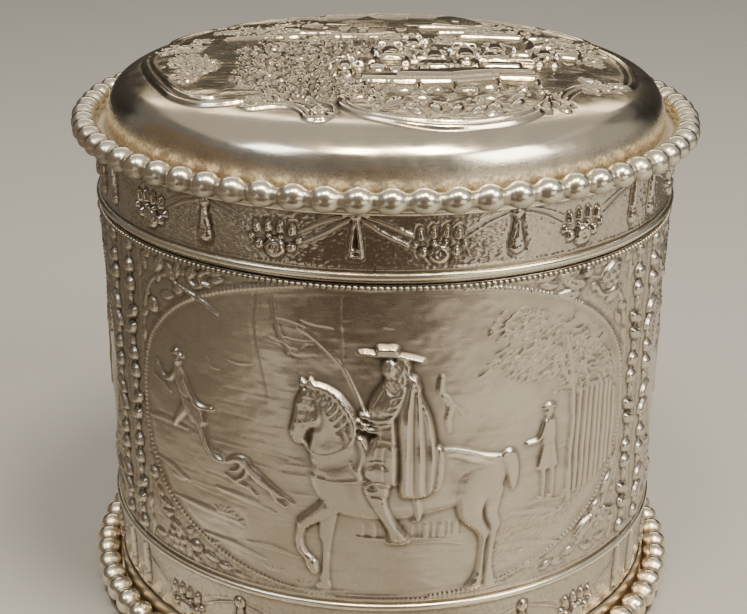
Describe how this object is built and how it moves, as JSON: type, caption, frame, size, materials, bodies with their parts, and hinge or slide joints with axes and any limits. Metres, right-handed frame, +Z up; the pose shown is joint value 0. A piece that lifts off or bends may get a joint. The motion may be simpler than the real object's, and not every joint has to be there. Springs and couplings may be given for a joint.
{
  "type": "round silver box with lift-off domed lid",
  "caption": "Round footed silver sugar bowl with straight chased walls, beaded foot and flange, and a loose domed lid that lifts off an inner collar.",
  "frame": {"origin": "on the axis of the round box, at the flat strip it stands on", "axes": "+Z up along the axis towards the lid; -Y towards the front, where the riding picture is; +X to the right seen from the front"},
  "size_m": [0.1152, 0.115, 0.1019],
  "materials": {
    "chased_silver": "chased and matted silver, worn polish with dark tarnish in the recesses",
    "bead_silver": "cast silver beads and drawn wires, bright on top and tarnished between",
    "plain_silver": "polished plain silver sheet with fine scratches"
  },
  "bodies": {
    "bowl": {"base_plate": "plain_silver", "body_wall": "chased_silver", "foot_flange": "plain_silver", "foot_bead_wire": "bead_silver", "foot_strip": "plain_silver", "lower_wire": "bead_silver", "mouth_wire": "bead_silver", "locating_collar": "plain_silver"},
    "lid": {"lid_wall": "chased_silver", "lid_lower_wire": "bead_silver", "lid_upper_wire": "bead_silver", "lid_flange": "plain_silver", "lid_bead_wire": "bead_silver", "lid_dome": "chased_silver"}
  },
  "joints": [
    {"name": "lid_lift", "type": "slide", "parent": "bowl", "child": "lid", "axis": [0, 0, 1], "range_m": [0, 0.06]}
  ]
}
